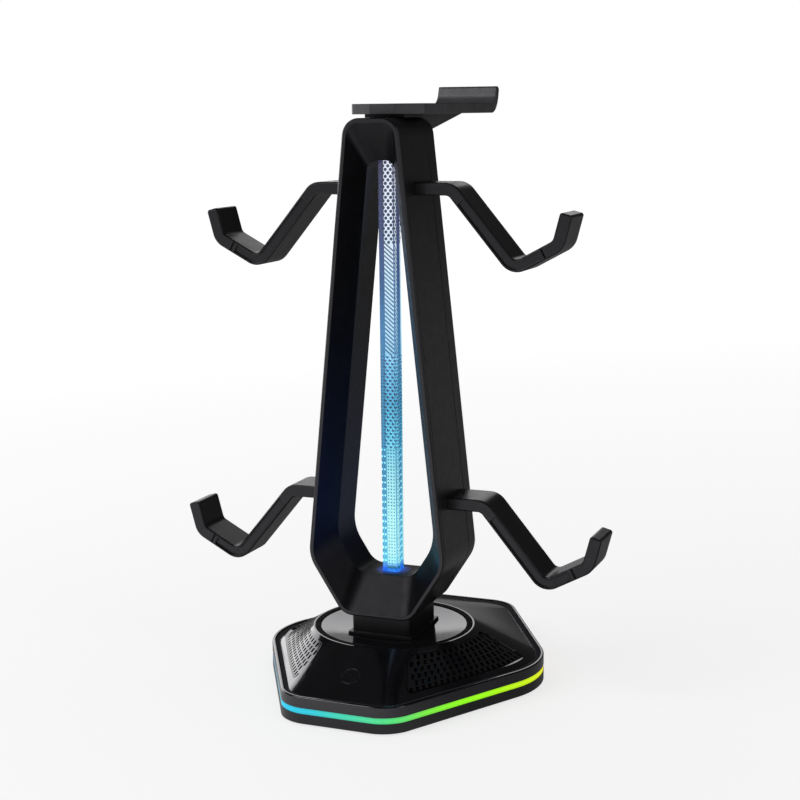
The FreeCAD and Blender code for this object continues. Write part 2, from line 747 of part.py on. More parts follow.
def tower_body():
    block = tower_slab(0, -TOWER_HALF_DEPTH, TOWER_HALF_DEPTH)
    block = block.makeChamfer(TOWER_EDGE, face_edges(block))
    block = block.cut(open_solid(0))
    cavity = tower_slab(TOWER_WALL, -CAVITY_HALF_DEPTH, CAVITY_HALF_DEPTH).cut(open_solid(TOWER_WALL))
    block = block.cut(cavity)
    block = block.cut(outer_line(SEAM_Y, SEAM_WIDE, SEAM_DEEP))
    return block.cut(outer_line(TRIM_LINE_BACK - TOWER_HALF_DEPTH, TRIM_LINE_WIDE, TRIM_LINE_DEEP))


def half_space(y0, y1):
    wide = WAIST_HALF + RIM
    return box(-wide, wide, y0, y1, NECK_TOP_Z - RIM, TOWER_TOP_Z + RIM)


def column_socket():
    half = COLUMN / 2 + COLUMN_FIT + SOCKET_WALL
    top = Z_CEILING + COLUMN_HOLD + SOCKET_SPARE + SOCKET_WALL
    return box(-half, half, -half, half, Z_CEILING, top)


def column_hole():
    half = COLUMN / 2 + COLUMN_FIT
    top = Z_CEILING + COLUMN_HOLD + SOCKET_SPARE
    return box(-half, half, -half, half, Z_LAMP_BOARD_TOP, top)


def leg_box(height, outside, y, up):
    """Box on the right leg's outer face: outwards, through and along the leg."""
    shape = box(*outside, *y, *up)
    lean = math.tan(math.radians(LEG_LEAN))
    x = WAIST_HALF - (height - WAIST_Z) * lean
    shape.Placement = FreeCAD.Placement(V(x, 0, height), FreeCAD.Rotation(V(0, 1, 0), -LEG_LEAN))
    return shape


def rear_boss(x, z, y0, y1, radius):
    return Part.makeCylinder(radius, y1 - y0, V(x, y0, z), V(0, 1, 0))


def tower_front():
    shell = tower_body().common(half_space(-TOWER_HALF_DEPTH, SEAM_Y))
    for x, y in TOWER_SCREWS:
        shell = shell.fuse(post(POST_R, x, y, NECK_TOP_Z, Z_POST_TOP))
        shell = shell.cut(thread_hole(UP, x, y, NECK_TOP_Z - NECK_WALL, TOWER_SCREW_LONG))
    inside = tower_slab(TOWER_WALL / 2, -CAVITY_HALF_DEPTH, SEAM_Y).cut(open_solid(TOWER_WALL / 2))
    bosses = [column_socket()]
    bosses += [rear_boss(x, z, -CAVITY_HALF_DEPTH, SEAM_Y, REAR_BOSS_R) for x, z in REAR_SCREWS]
    bosses += [post(REAR_BOSS_R, 0, y, Z_CEILING, TOWER_TOP_Z) for y in REST_SCREW_Y]
    for boss in bosses:
        shell = shell.fuse(boss.common(inside))
    shell = shell.cut(column_hole())
    for x, z in REAR_SCREWS:
        shell = shell.cut(thread_hole(FORWARD, x, SEAM_Y + REAR_WEB, z, REAR_SCREW_LONG))
    for y in REST_SCREW_Y:
        shell = shell.cut(thread_hole(DOWN, 0, y, Z_REST_TOP - HEAD_SINK, REST_SCREW_LONG))
    shell = shell.cut(post(LEAD_HOLE_R, 0, 0, NECK_TOP_Z, NECK_TOP_Z + TOWER_WALL))
    for height in HOOK_HEIGHTS.values():
        slot = leg_box(height, (-TOWER_WALL - FIT, FIT), (-HOOK_TONGUE_HALF - HOOK_FIT, SEAM_Y),
                       (-HOOK_TONGUE / 2 - HOOK_FIT, HOOK_TONGUE / 2 + HOOK_FIT))
        shell = shell.cut(slot).cut(mirrored(slot))
    return shell.removeSplitter()


def tower_rear():
    shell = tower_body().common(half_space(SEAM_Y, TOWER_HALF_DEPTH))
    seat = SEAM_Y + REAR_WEB
    inside = tower_slab(TOWER_WALL / 2, SEAM_Y, TOWER_HALF_DEPTH).cut(open_solid(0))
    for x, z in REAR_SCREWS:
        shell = shell.fuse(rear_boss(x, z, SEAM_Y, seat, REAR_BOSS_R).common(inside))
        shell = shell.cut(rear_boss(x, z, SEAM_Y, seat, SCREW_R + FIT))
        shell = shell.cut(rear_boss(x, z, seat, TOWER_HALF_DEPTH, HEAD_R + FIT))
    return shell.removeSplitter()


def light_column():
    half = COLUMN / 2
    return box(-half, half, -half, half, Z_LAMP_TOP + LAMP_GAP, Z_CEILING + COLUMN_HOLD)


def lamp_board():
    return box(-LAMP_BOARD_HALF_WIDTH, LAMP_BOARD_HALF_WIDTH, -LAMP_BOARD_HALF_DEPTH, LAMP_BOARD_HALF_DEPTH,
               Z_POST_TOP, Z_LAMP_BOARD_TOP)


def column_lamp():
    half = LAMP_SIZE / 2
    return box(-half, half, -half, half, Z_LAMP_BOARD_TOP, Z_LAMP_TOP)


# Hooks

def hook_points(height):
    """Middle line of a right-hand hook, from inside the leg to the lip's tip."""
    lean = math.tan(math.radians(LEG_LEAN))
    x = WAIST_HALF - (height - WAIST_Z) * lean
    points = [V(x - HOOK_THICK, height, 0), V(x + HOOK_STUB, height, 0)]
    runs = ((HOOK_ARM, HOOK_ARM_ANGLE), (HOOK_RISE, HOOK_RISE_ANGLE), (HOOK_LIP, HOOK_LIP_ANGLE))
    for length, angle in runs:
        turn = math.radians(angle)
        points.append(points[-1] + V(math.cos(turn), math.sin(turn), 0) * length)
    return points


def strap_edges(points, thick, bend, tip, y):
    """Outline of a bent strap of even thickness round its middle line."""
    sides = ([], [])
    for index, point in enumerate(points):
        ways = []
        for here, after in ((index - 1, index), (index, index + 1)):
            if 0 <= here and after < len(points):
                way = points[after] - points[here]
                way.normalize()
                ways.append(V(-way.y, way.x, 0))
        normal = ways[0] + ways[-1]
        normal.normalize()
        reach = thick / 2 / normal.dot(ways[0])
        turn = ways[0].cross(ways[-1]).z
        for side, sign in zip(sides, (1, -1)):
            radius = 0 if index == 0 else tip
            if len(ways) == 2:
                radius = bend - math.copysign(thick / 2, turn * sign)
            side.append((point + normal * (sign * reach), radius))
    ring = sides[1] + sides[0][::-1]
    corners = [(place.x, place.y) for place, _ in ring]
    return rounded_edges(corners, [radius for _, radius in ring], lambda p: V(p.x, y, p.y))


def hook(height):
    points = hook_points(height)
    width = V(0, 2 * HOOK_HALF_WIDTH, 0)
    strap = slab(strap_edges(points, HOOK_THICK, HOOK_BEND_R, HOOK_TIP_R, -HOOK_HALF_WIDTH), width)
    strap = strap.makeChamfer(HOOK_EDGE, face_edges(strap))
    strap = strap.cut(tower_slab(0, -TOWER_HALF_DEPTH, TOWER_HALF_DEPTH))
    arm = points[2] - points[1]
    rise = points[3] - points[2]
    arm.normalize()
    rise.normalize()
    line = [points[1] + arm * HOOK_POCKET_START, points[2], points[2] + rise * HOOK_POCKET_END]
    groove = [points[2] + rise * HOOK_GROOVE_AT, points[2] + rise * (HOOK_GROOVE_AT + HOOK_GROOVE_WIDE)]
    for low in (-HOOK_HALF_WIDTH, HOOK_HALF_WIDTH - HOOK_POCKET):
        deep = V(0, HOOK_POCKET, 0)
        strap = strap.cut(slab(strap_edges(line, HOOK_THICK - 2 * HOOK_BEAD, HOOK_BEND_R, 0, low), deep))
        strap = strap.cut(slab(strap_edges(groove, HOOK_THICK - HOOK_BEAD, HOOK_BEND_R, 0, low), deep))
    back = -TOWER_WALL - HOOK_FIT
    up = (-HOOK_TONGUE / 2, HOOK_TONGUE / 2)
    tongue = leg_box(height, (back, HOOK_ROOT), (-HOOK_TONGUE_HALF, HOOK_HALF_WIDTH), up)
    key = leg_box(height, (back, 0), (HOOK_HALF_WIDTH, SEAM_Y), up)
    head_up = (-HOOK_HEAD / 2, HOOK_HEAD / 2)
    head = leg_box(height, (back - HOOK_HEAD_THICK, back), (-HOOK_TONGUE_HALF, SEAM_Y), head_up)
    return strap.fuse(tongue).fuse(key).fuse(head).removeSplitter()


# Headset rest

def riser():
    plate = box(-RISER_HALF_WIDTH, RISER_HALF_WIDTH, RISER_FRONT, RISER_REAR, TOWER_TOP_Z, Z_RISER_TOP)
    for y in REST_SCREW_Y:
        plate = plate.cut(post(SCREW_R + FIT, 0, y, TOWER_TOP_Z, Z_RISER_TOP))
    return plate


def rest_strap():
    """Side profile of the headset rest, flat with an upturned rear lip, swept over its width."""
    lip = math.radians(REST_LIP_ANGLE)
    middle = Z_RISER_TOP + REST_THICK / 2
    line = [V(REST_NOSE_Y, middle, 0), V(REST_REAR, middle, 0)]
    line.append(line[-1] + V(math.cos(lip), math.sin(lip), 0) * REST_LIP)
    outline = Part.Wire(strap_edges(line, REST_THICK, REST_BEND_R, REST_TIP_R, 0))
    outline.Placement = FreeCAD.Placement(V(-REST_HALF_WIDTH, 0, 0), FreeCAD.Rotation(UP, 90))
    return Part.Face(outline).extrude(V(2 * REST_HALF_WIDTH, 0, 0))


def headset_rest():
    """Long saddle with a faceted nose, an upturned rear lip and a rib beneath."""
    nose_run = (REST_HALF_WIDTH - REST_NOSE_HALF) * math.tan(math.radians(REST_NOSE_ANGLE))
    far = REST_REAR + REST_LIP + REST_THICK
    right = [(REST_NOSE_HALF, REST_NOSE_Y), (REST_HALF_WIDTH, REST_NOSE_Y + nose_run),
             (REST_REAR_HALF, far)]
    plan = right + [(-x, y) for x, y in reversed(right)]
    radii = [0, REST_CORNER_R, 0, 0, REST_CORNER_R, 0]
    edges = rounded_edges(plan, radii, lambda p: V(p.x, p.y, Z_RISER_TOP))
    rest = rest_strap().common(slab(edges, V(0, 0, REST_LIP + 2 * REST_THICK)))
    front = TOWER_HALF_DEPTH + REST_RIB_GAP
    rib = [V(-REST_RIB_HALF, front, Z_RISER_TOP), V(-REST_RIB_HALF, REST_RIB_END, Z_RISER_TOP),
           V(-REST_RIB_HALF, front, Z_RISER_TOP - REST_RIB_DEEP)]
    rest = rest.fuse(Part.Face(Part.makePolygon(rib + rib[:1])).extrude(V(2 * REST_RIB_HALF, 0, 0)))
    for y in REST_SCREW_Y:
        rest = rest.cut(post(SCREW_R + FIT, 0, y, Z_RISER_TOP, Z_REST_TOP))
        rest = rest.cut(post(HEAD_R + FIT, 0, y, Z_REST_TOP - HEAD_SINK, Z_REST_TOP))
    return rest.removeSplitter()


# Assembly

def screws(places, tip_to, level, length):
    """Group of like screws that stand along Z with their heads at one level."""
    return Part.makeCompound([screw(tip_to, x, y, level, length) for x, y in places])


def pieces():
    shapes = {"base_mat": base_mat(), "base_tray": base_tray()}
    shapes["ballast_plate"] = ballast_plate()
    shapes["light_ring"] = light_ring()
    shapes["led_strip"] = led_strip()
    shapes["strip_leds"] = strip_leds()
    shapes["base_cover"] = base_cover()
    shapes["grille_left"] = grille_left()
    shapes["grille_right"] = mirrored(shapes["grille_left"])
    shapes["ring_trim"] = ring_trim()
    shapes["dish"] = dish()
    shapes["touch_board"] = touch_board()
    shapes["control_board"] = control_board()
    shapes["board_header"] = header(Z_BOARD_TOP, Z_BOARD_TOP + HEADER_TALL)
    shapes["usb_socket"] = usb_socket()
    shapes["neck"] = neck()
    shapes["tower_front"] = tower_front()
    shapes["tower_rear"] = tower_rear()
    shapes["light_column"] = light_column()
    shapes["lamp_board"] = lamp_board()
    shapes["column_lamp"] = column_lamp()
    shapes["lamp_header"] = header(Z_POST_TOP - HEADER_TALL, Z_POST_TOP)
    shapes["lamp_lead"] = post(LEAD_R, 0, 0, Z_BOARD_TOP + HEADER_TALL, Z_POST_TOP - HEADER_TALL)
    for level, height in HOOK_HEIGHTS.items():
        shapes[f"hook_{level}_right"] = hook(height)
        shapes[f"hook_{level}_left"] = mirrored(shapes[f"hook_{level}_right"])
    shapes["rest_riser"] = riser()
    shapes["headset_rest"] = headset_rest()
    shapes["base_screws"] = screws(BASE_SCREWS, UP, Z_TRAY + HEAD_SINK, BASE_SCREW_LONG)
    shapes["board_screws"] = screws(BOARD_SCREWS, DOWN, Z_BOARD_TOP, BOARD_SCREW_LONG)
    shapes["neck_screws"] = screws(NECK_SCREWS, UP, Z_DECK - DECK_THICK, NECK_SCREW_LONG)
    shapes["tower_screws"] = screws(TOWER_SCREWS, UP, NECK_TOP_Z - NECK_WALL, TOWER_SCREW_LONG)
    shapes["rear_screws"] = Part.makeCompound(
        [screw(FORWARD, x, SEAM_Y + REAR_WEB, z, REAR_SCREW_LONG) for x, z in REAR_SCREWS])
    rest_places = [(0, y) for y in REST_SCREW_Y]
    shapes["rest_screws"] = screws(rest_places, DOWN, Z_REST_TOP - HEAD_SINK, REST_SCREW_LONG)
    return shapes


def main():
    os.makedirs("parts", exist_ok=True)
    for name, shape in pieces().items():
        shape.exportStep(f"parts/{name}.step")
        print(f"{name}: {len(shape.Solids)} solids, valid {shape.isValid()}, {shape.Volume:.0f} mm3")


main()
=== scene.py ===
import json
import math

import bmesh
import bpy
from mathutils import Matrix, Vector


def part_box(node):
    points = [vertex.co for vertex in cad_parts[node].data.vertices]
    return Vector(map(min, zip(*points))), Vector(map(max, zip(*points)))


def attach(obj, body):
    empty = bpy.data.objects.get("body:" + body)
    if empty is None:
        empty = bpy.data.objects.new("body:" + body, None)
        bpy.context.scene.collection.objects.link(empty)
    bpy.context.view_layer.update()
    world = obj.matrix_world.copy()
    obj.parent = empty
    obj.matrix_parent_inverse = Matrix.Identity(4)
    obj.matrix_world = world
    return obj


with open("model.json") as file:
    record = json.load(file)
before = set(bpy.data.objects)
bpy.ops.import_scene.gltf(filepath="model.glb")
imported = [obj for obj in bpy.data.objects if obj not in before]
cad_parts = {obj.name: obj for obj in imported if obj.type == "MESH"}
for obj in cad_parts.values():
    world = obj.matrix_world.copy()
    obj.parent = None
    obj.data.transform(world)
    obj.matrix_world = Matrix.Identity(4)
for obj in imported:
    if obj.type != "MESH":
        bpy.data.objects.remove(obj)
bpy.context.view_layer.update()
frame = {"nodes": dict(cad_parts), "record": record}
nodes = frame["nodes"]
rod_low, rod_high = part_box("light_column")
line_low, line_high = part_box("light_ring")


# Node trees

NOISE_SPAN = (0.3, 0.7)
RISING = (0.0, 1.0)
FALLING = (1.0, 0.0)


class Graph:
    """The node tree of a material or a world, with short calls to add and join nodes."""

    def __init__(self, owner, coordinate):
        owner.use_nodes = True
        self.tree = owner.node_tree
        self.place = self.add("ShaderNodeTexCoord").outputs[coordinate]

    def fill(self, node, inputs):
        """Give a node's inputs numbers, colours or the outputs of other nodes."""
        for name, value in inputs.items():
            if isinstance(value, bpy.types.NodeSocket):
                self.tree.links.new(value, node.inputs[name])
            else:
                node.inputs[name].default_value = value

    def add(self, kind, inputs=None, **settings):
        node = self.tree.nodes.new(kind)
        for name, value in settings.items():
            setattr(node, name, value)
        self.fill(node, inputs or {})
        return node

    def math(self, operation, first, second=0.0):
        return self.add("ShaderNodeMath", {0: first, 1: second}, operation=operation).outputs["Value"]

    def noise(self, scale, detail=2.0):
        inputs = {"Vector": self.place, "Scale": scale, "Detail": detail}
        return self.add("ShaderNodeTexNoise", inputs).outputs["Fac"]

    def spread(self, value, span, result, kind="LINEAR"):
        """Map a span of a value to the range of the result."""
        inputs = dict(zip(("From Min", "From Max", "To Min", "To Max"), (*span, *result)), Value=value)
        return self.add("ShaderNodeMapRange", inputs, interpolation_type=kind).outputs["Result"]

    def ramp(self, value, stops):
        """Colour by a value, through stops of place and linear colour."""
        node = self.add("ShaderNodeValToRGB", {"Fac": value})
        elements = node.color_ramp.elements
        while len(elements) < len(stops):
            elements.new(1.0)
        for element, (place, colour) in zip(elements, stops):
            element.position = place
            element.color = (*colour, 1.0)
        return node.outputs["Color"]

    def split(self, vector):
        return self.add("ShaderNodeSeparateXYZ", {"Vector": vector}).outputs[:]

    def along(self, vector, way):
        """How far a vector reaches in one direction."""
        return self.add("ShaderNodeVectorMath", {0: vector, 1: way}, operation="DOT_PRODUCT").outputs["Value"]

    def rays(self, *kinds):
        """1 for rays of the named kinds and 0 for others."""
        path = self.add("ShaderNodeLightPath")
        total = path.outputs[kinds[0]]
        for kind in kinds[1:]:
            total = self.math("MAXIMUM", total, path.outputs[kind])
        return total

    def mix(self, share, first, second):
        """The first shader where the share is 0, and the second where it is 1."""
        return self.add("ShaderNodeMixShader", {0: share, 1: first, 2: second}).outputs["Shader"]


class Surface(Graph):
    """A new material and its main shader."""

    def __init__(self, name):
        self.material = bpy.data.materials.new(name)
        super().__init__(self.material, "Object")
        self.shader = self.tree.nodes["Principled BSDF"]

    def dress(self, inputs):
        self.fill(self.shader, inputs)

    def mottle(self, first, second, scale, detail=2.0):
        """A colour that wanders between two."""
        return self.ramp(self.noise(scale, detail), list(zip(NOISE_SPAN, (first, second))))

    def uneven(self, low, high, scale, detail=2.0):
        """A number that wanders between two."""
        return self.spread(self.noise(scale, detail), NOISE_SPAN, (low, high))

    def normal(self, kind="Normal"):
        return self.split(self.add("ShaderNodeNewGeometry").outputs[kind])

    def relief(self, height, depth, strength, round_edge=0.0):
        """Bump by a height in metres, on edges that shade as if rounded."""
        bump = self.add("ShaderNodeBump", {"Strength": strength, "Distance": depth, "Height": height})
        if round_edge:
            bevel = self.add("ShaderNodeBevel", {"Radius": round_edge}, samples=6)
            self.fill(bump, {"Normal": bevel.outputs["Normal"]})
        self.dress({"Normal": bump.outputs["Normal"]})


def srgb(red, green, blue):
    """Linear colour of an 8-bit screen colour."""
    def linear(value):
        value /= 255.0
        return value / 12.92 if value <= 0.04045 else ((value + 0.055) / 1.055) ** 2.4
    return linear(red), linear(green), linear(blue)


def screen_stops(stops):
    return [(place, srgb(*colour)) for place, colour in stops]


# Plastics

MOTTLE = 0.25
MOTTLE_SCALE = 90.0
MOTTLE_DETAIL = 3.0
GLOSS_DRIFT = 0.12
GLOSS_SCALE = 240.0
GLOSS_DETAIL = 4.0
GRAIN_STRENGTH = 0.35
REFLECTION_TINT = (0.95, 0.93, 1.0, 1.0)


def moulded(name, grain, depth, level, round_edge):
    """Moulded plastic before its colour and gloss: spark-eroded grain and slightly rounded edges."""
    surface = Surface(name)
    surface.dress({"Specular IOR Level": level, "Specular Tint": REFLECTION_TINT})
    surface.relief(surface.noise(grain), depth, GRAIN_STRENGTH, round_edge)
    return surface


def tint(surface, colour):
    """Give a surface a colour with a faint mottle."""
    dark = [value * (1 - MOTTLE) for value in colour]
    light = [value * (1 + MOTTLE) for value in colour]
    surface.dress({"Base Color": surface.mottle(dark, light, MOTTLE_SCALE, MOTTLE_DETAIL)})


def gloss(surface, rough):
    """Give a surface a slightly uneven gloss."""
    low, high = rough * (1 - GLOSS_DRIFT), rough * (1 + GLOSS_DRIFT)
    surface.dress({"Roughness": surface.uneven(low, high, GLOSS_SCALE, GLOSS_DETAIL)})


def plastic(name, colour, rough, grain=3000.0, depth=0.00002, level=0.4, round_edge=0.0004):
    """Moulded plastic of one colour and gloss."""
    surface = moulded(name, grain, depth, level, round_edge)
    tint(surface, colour)
    gloss(surface, rough)
    return surface


# The cover's level faces below this height are the floor of its groove
GROOVE_TOP = 0.01245
LEVEL_FACE = 0.9
GROOVE_SHARE = 0.8
COVER_STOPS = [
    (0.06, (0.0026, 0.0026, 0.0032)), (0.14, (0.0044, 0.0043, 0.0053)), (0.94, (0.034, 0.033, 0.038)),
]


def cover_plastic():
    """Gloss black; the narrow groove inside the cover's rim is left dull and a little paler, as painted shade
    in the recess.
    """
    surface = moulded("gloss_black", grain=900.0, depth=0.000006, level=1.0, round_edge=0.00015)
    gloss(surface, 0.12)
    # Painted shade: the groove's floor gets no reflection and a slightly paler colour, so it reads as a dark
    # matte band
    level = surface.math("GREATER_THAN", surface.normal()[2], LEVEL_FACE)
    low = surface.math("LESS_THAN", surface.split(surface.place)[2], GROOVE_TOP)
    groove = surface.math("MULTIPLY", level, low)
    pale = surface.math("MULTIPLY", groove, GROOVE_SHARE)
    mottle = surface.math("MULTIPLY", surface.noise(MOTTLE_SCALE, MOTTLE_DETAIL), 1 - GROOVE_SHARE)
    surface.dress({
        "Base Color": surface.ramp(surface.math("ADD", pale, mottle), COVER_STOPS),
        "Specular IOR Level": surface.spread(groove, RISING, FALLING),
    })
    return surface


# The way that the right grille faces, which the left one mirrors
GRILLE_WAY = (0.645, -0.366, 0.672)
SLOT_WALL_SPAN = (0.6, 0.8)


def grille_plastic():
    """Gloss plates; the walls of their slots are dull as painted shade, so that the slots stay dark."""
    colour = (0.006, 0.006, 0.007)
    surface = plastic("grille_plastic", colour, 0.17, grain=2600.0, depth=0.00001, level=1.0, round_edge=0.0)
    x, y, z = surface.normal("True Normal")
    folded = surface.add("ShaderNodeCombineXYZ", {"X": surface.math("ABSOLUTE", x), "Y": y, "Z": z})
    outward = surface.along(folded.outputs["Vector"], GRILLE_WAY)
    # Painted shade: faces turned away from the grille's way lose their reflection
    surface.dress({"Specular IOR Level": surface.spread(outward, SLOT_WALL_SPAN, RISING)})
    return surface


# Painted blue light on the tower: emission paints a pool round the rod's foot, and a sheen on the inner faces
# by height
POOL_RADIUS = (0.0035, 0.0085)
POOL_HEIGHT = (0.0545, 0.0575)
SHEEN_RISE = (0.052, 0.085)
SHEEN_FALL = (0.10, 0.19)
SHEEN_SPAN = (0.35, 1.0)
SHEEN_STRENGTH = (0.0, 0.034)
# A face that looks straight at the rod from this distance counts as 1 inward
INWARD_REACH = 0.025
# Reflection on plain faces and on dull ones: inner bevels, and faces that look up or down; the lower
# reflection on the dull ones is painted shade
TOWER_SPECULAR = (0.6, 0.2)
BEVEL_SPAN = (0.1, 0.4)
FLAT_SPAN = (0.3, 0.5)
# Roughness on plain faces and on those that look straight up
TOWER_ROUGH = (0.36, 0.62)
LEVEL_SPAN = (0.85, 0.95)
TOWER_DRIFT = (0.9, 1.1)


def tower_plastic():
    """Satin black with painted light: less reflection on the inner bevels and on faces that look up or down
    as painted shade, rougher on level faces, and the rod's blue light painted on as emission.
    """
    surface = moulded("satin_black", grain=3200.0, depth=0.00002, level=TOWER_SPECULAR[0], round_edge=0.0003)
    tint(surface, (0.0045, 0.0044, 0.0054))
    x, y, z = surface.split(surface.place)
    side, _, upward = surface.normal()
    inward = surface.math("MULTIPLY", surface.math("MULTIPLY", side, x), -1 / INWARD_REACH)
    # Painted shade: less reflection on the inner bevels and on faces that look up or down
    bevel = surface.spread(inward, BEVEL_SPAN, RISING)
    flat = surface.spread(surface.math("ABSOLUTE", upward), FLAT_SPAN, RISING)
    rough = surface.spread(upward, LEVEL_SPAN, TOWER_ROUGH)
    # Painted blue light: a pool of emission round the rod's foot and a sheen on the inner faces
    squares = [surface.math("POWER", value, 2.0) for value in (x, y)]
    radius = surface.math("SQRT", surface.math("ADD", *squares))
    low = surface.spread(z, POOL_HEIGHT, FALLING)
    pool = surface.math("MULTIPLY", surface.spread(radius, POOL_RADIUS, FALLING), low)
    rise = surface.spread(z, SHEEN_RISE, RISING)
    rise_and_fall = surface.math("MULTIPLY", rise, surface.spread(z, SHEEN_FALL, FALLING))
    sheen = surface.math("MULTIPLY", surface.spread(inward, SHEEN_SPAN, SHEEN_STRENGTH), rise_and_fall)
    surface.dress({
        "Specular IOR Level": surface.spread(surface.math("MAXIMUM", bevel, flat), RISING, TOWER_SPECULAR),
        "Roughness": surface.math("MULTIPLY", rough, surface.uneven(*TOWER_DRIFT, GLOSS_SCALE, GLOSS_DETAIL)),
        "Emission Strength": surface.math("ADD", pool, sheen),
        "Emission Color": surface.mottle((0.025, 0.07, 0.38), (0.035, 0.09, 0.44), scale=150.0),
    })
    return surface


# Metal and circuit boards

METAL_DARK = 0.75
METAL_DULL = 1.3
METAL_BRIGHT = 0.8


def metal(name, colour, rough, grain):
    """Plated or drawn metal with fine drawing marks."""
    surface = Surface(name)
    dark = [value * METAL_DARK for value in colour]
    surface.dress({
        "Metallic": 1.0,
        "Base Color": surface.mottle(dark, colour, scale=700.0, detail=3.0),
        "Roughness": surface.uneven(rough * METAL_BRIGHT, rough * METAL_DULL, grain, detail=3.0),
    })
    surface.relief(surface.noise(grain), depth=0.00002, strength=0.3)
    return surface


def circuit(name):
    """Solder mask with lighter copper runs under it."""
    surface = Surface(name)
    runs = surface.add("ShaderNodeTexBrick", {
        "Vector": surface.place,
        "Scale": 220.0,
        "Mortar Size": 0.03,
        "Color1": (0.008, 0.05, 0.026, 1),
        "Color2": (0.01, 0.065, 0.034, 1),
        "Mortar": (0.03, 0.16, 0.08, 1),
    })
    surface.dress({
        "Base Color": runs.outputs["Color"],
        "Roughness": surface.uneven(0.25, 0.4, scale=500.0),
    })
    surface.relief(runs.outputs["Fac"], depth=0.00003, strength=0.4)
    return surface


# Colours of the light line, in turn round the base from its left corner
LINE = [
    (0.000, (70, 176, 238)), (0.090, (84, 202, 234)), (0.185, (23, 205, 244)), (0.222, (44, 203, 222)),
    (0.250, (63, 213, 186)), (0.278, (75, 218, 164)), (0.308, (83, 225, 127)), (0.345, (121, 234, 68)),
    (0.390, (141, 250, 27)), (0.450, (163, 251, 9)), (0.520, (214, 240, 12)), (0.580, (250, 205, 20)),
    (0.650, (255, 128, 28)), (0.740, (255, 64, 84)), (0.820, (232, 62, 206)), (0.895, (128, 84, 255)),
    (0.955, (72, 132, 252)), (1.000, (70, 176, 238)),
]
LINE_GLOW = (1.06, 0.8)
LINE_DRIFT = (0.97, 1.03)


def light_line():
    """Frosted light guide: a rainbow round the base, brightest along the middle of its height."""
    surface = Surface("light_line")
    x, y, z = surface.split(surface.place)
    turn = surface.math("ADD", surface.math("ARCTAN2", y, x), math.pi)
    share = surface.math("MULTIPLY", turn, 1 / math.tau)
    off = surface.math("ABSOLUTE", surface.math("SUBTRACT", z, (line_low.z + line_high.z) / 2))
    glow = surface.spread(off, (0.0, (line_high.z - line_low.z) / 2), LINE_GLOW)
    surface.dress({
        "Emission Color": surface.ramp(share, screen_stops(LINE)),
        "Emission Strength": surface.math("MULTIPLY", glow, surface.uneven(*LINE_DRIFT, scale=400.0)),
        "Base Color": surface.mottle((0.02, 0.02, 0.02), (0.03, 0.03, 0.03), scale=600.0),
        "Roughness": surface.uneven(0.3, 0.45, scale=900.0),
        "Specular IOR Level": 0.2,
    })
    return surface


# Colours up the light column, by share of the rod's height
LATTICE = [
    (0.000, (40, 120, 250)), (0.024, (50, 140, 250)), (0.036, (160, 244, 252)), (0.060, (185, 250, 252)),
    (0.138, (183, 250, 251)), (0.231, (166, 236, 242)), (0.330, (100, 205, 232)), (0.417, (64, 168, 208)),
    (0.500, (112, 194, 232)), (0.581, (184, 230, 254)), (0.709, (205, 237, 252)), (0.826, (229, 241, 255)),
    (0.966, (226, 232, 248)), (1.000, (214, 220, 240)),
]
# Colours of the sheets' darker borders: painted shade for the dark bands along the rod's sides
EDGE = [
    (0.000, (30, 90, 240)), (0.024, (40, 120, 244)), (0.040, (90, 200, 236)), (0.138, (80, 182, 222)),
    (0.231, (48, 140, 186)), (0.417, (42, 136, 176)), (0.581, (58, 124, 174)), (0.709, (40, 82, 134)),
    (0.826, (54, 70, 120)), (0.966, (46, 44, 84)), (1.000, (36, 35, 64)),
]
HOLE = [
    (0.000, (8, 40, 66)), (0.040, (30, 140, 180)), (0.200, (36, 140, 180)), (0.330, (28, 96, 140)),
    (0.417, (14, 52, 94)), (0.581, (60, 104, 150)), (0.700, (74, 104, 150)), (0.826, (40, 50, 80)),
    (1.000, (44, 46, 66)),
]
LIT_DRIFT = (0.92, 1.06)


def acrylic():
    """Clear rod with a faint blue cast."""
    surface = Surface("acrylic")
    surface.dress({
        "Base Color": surface.mottle((0.90, 0.96, 1.0), (0.94, 0.98, 1.0), scale=60.0),
        "Transmission Weight": 1.0,
        "IOR": 1.49,
        "Specular IOR Level": 0.25,
        "Roughness": surface.uneven(0.0, 0.02, scale=300.0),
    })
    return surface


def lit(name, stops, strength=1.0):
    """Lit from the rod's foot: a colour by height, uneven in strength from bubble to bubble."""
    surface = Surface(name)
    share = surface.spread(surface.split(surface.place)[2], (rod_low.z, rod_high.z), RISING)
    low, high = (strength * drift for drift in LIT_DRIFT)
    surface.dress({
        "Emission Color": surface.ramp(share, screen_stops(stops)),
        "Emission Strength": surface.uneven(low, high, scale=500.0),
        "Base Color": surface.mottle((0.002, 0.003, 0.004), (0.004, 0.005, 0.007), scale=700.0),
        "Roughness": surface.uneven(0.4, 0.6, scale=800.0),
    })
    return surface


# Finish of each material slot

